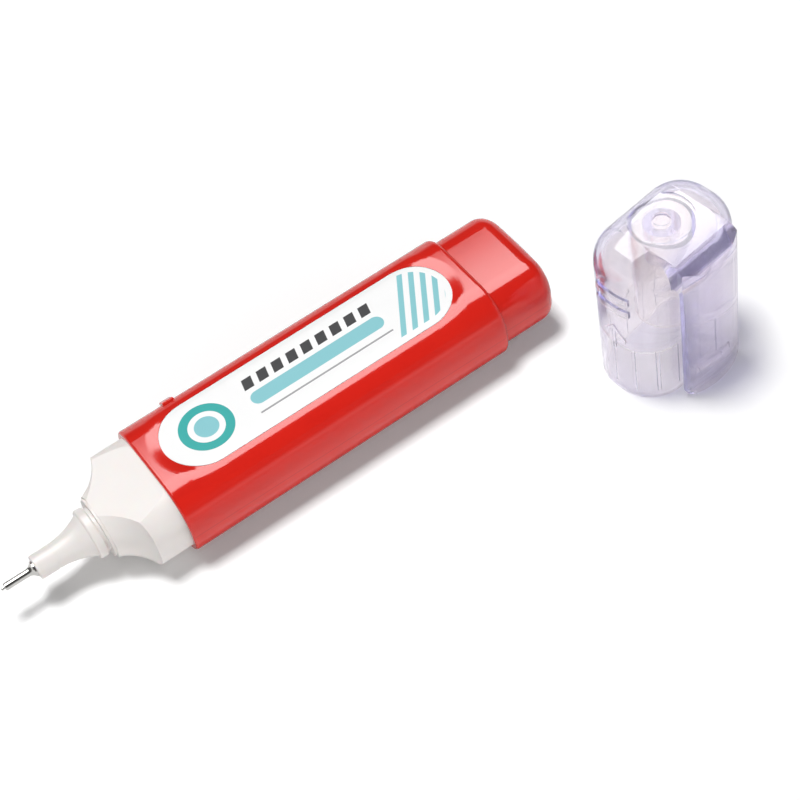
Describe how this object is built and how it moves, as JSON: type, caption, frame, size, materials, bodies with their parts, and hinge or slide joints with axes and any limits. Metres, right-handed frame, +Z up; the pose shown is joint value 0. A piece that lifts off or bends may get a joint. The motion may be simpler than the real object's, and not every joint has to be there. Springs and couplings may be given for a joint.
{
  "type": "correction pen",
  "caption": "Squeeze correction pen with a flat-oval barrel, white shoulder and cone nozzle, sprung steel tip, and a clear clip cap taken off beside it.",
  "frame": {"origin": "middle of the flat face that the barrel lies on, half way between its front rim and its rear step", "axes": "+X along the pen from the tip to the tail, +Y to the side away from the cap, +Z up off the rest face"},
  "size_m": [0.144, 0.0563, 0.0365],
  "materials": {
    "red_plastic": "gloss moulded",
    "label_film": "printed gloss film",
    "white_plastic": "satin moulded",
    "steel": "polished turned",
    "spring_steel": "drawn wire",
    "ball_steel": "ground ball",
    "clear_plastic": "clear moulded with a faint violet tint"
  },
  "bodies": {
    "pen": {"barrel": "red_plastic", "label": "label_film", "shoulder": "white_plastic", "nozzle": "white_plastic", "tip": "steel", "spring_guide": "white_plastic", "valve_spring": "spring_steel"},
    "valve": {"valve_rod": "steel"},
    "agitator": {"mixing_ball": "ball_steel"},
    "cap": {"cap": "clear_plastic"}
  },
  "joints": [
    {"name": "valve_press", "type": "slide", "parent": "pen", "child": "valve", "axis": [1, 0, 0], "range_m": [0, 0.0005], "stiffness_N_per_m": 150, "springref_m": -0.002, "deforming": ["valve_spring"]},
    {"name": "ball_roll", "type": "slide", "parent": "pen", "child": "agitator", "axis": [1, 0, 0], "range_m": [-0.044, 0.013]},
    {"name": "cap_lift", "type": "slide", "parent": "pen", "child": "cap", "axis": [0, 0, 1], "range_m": [0, 0.06]}
  ]
}
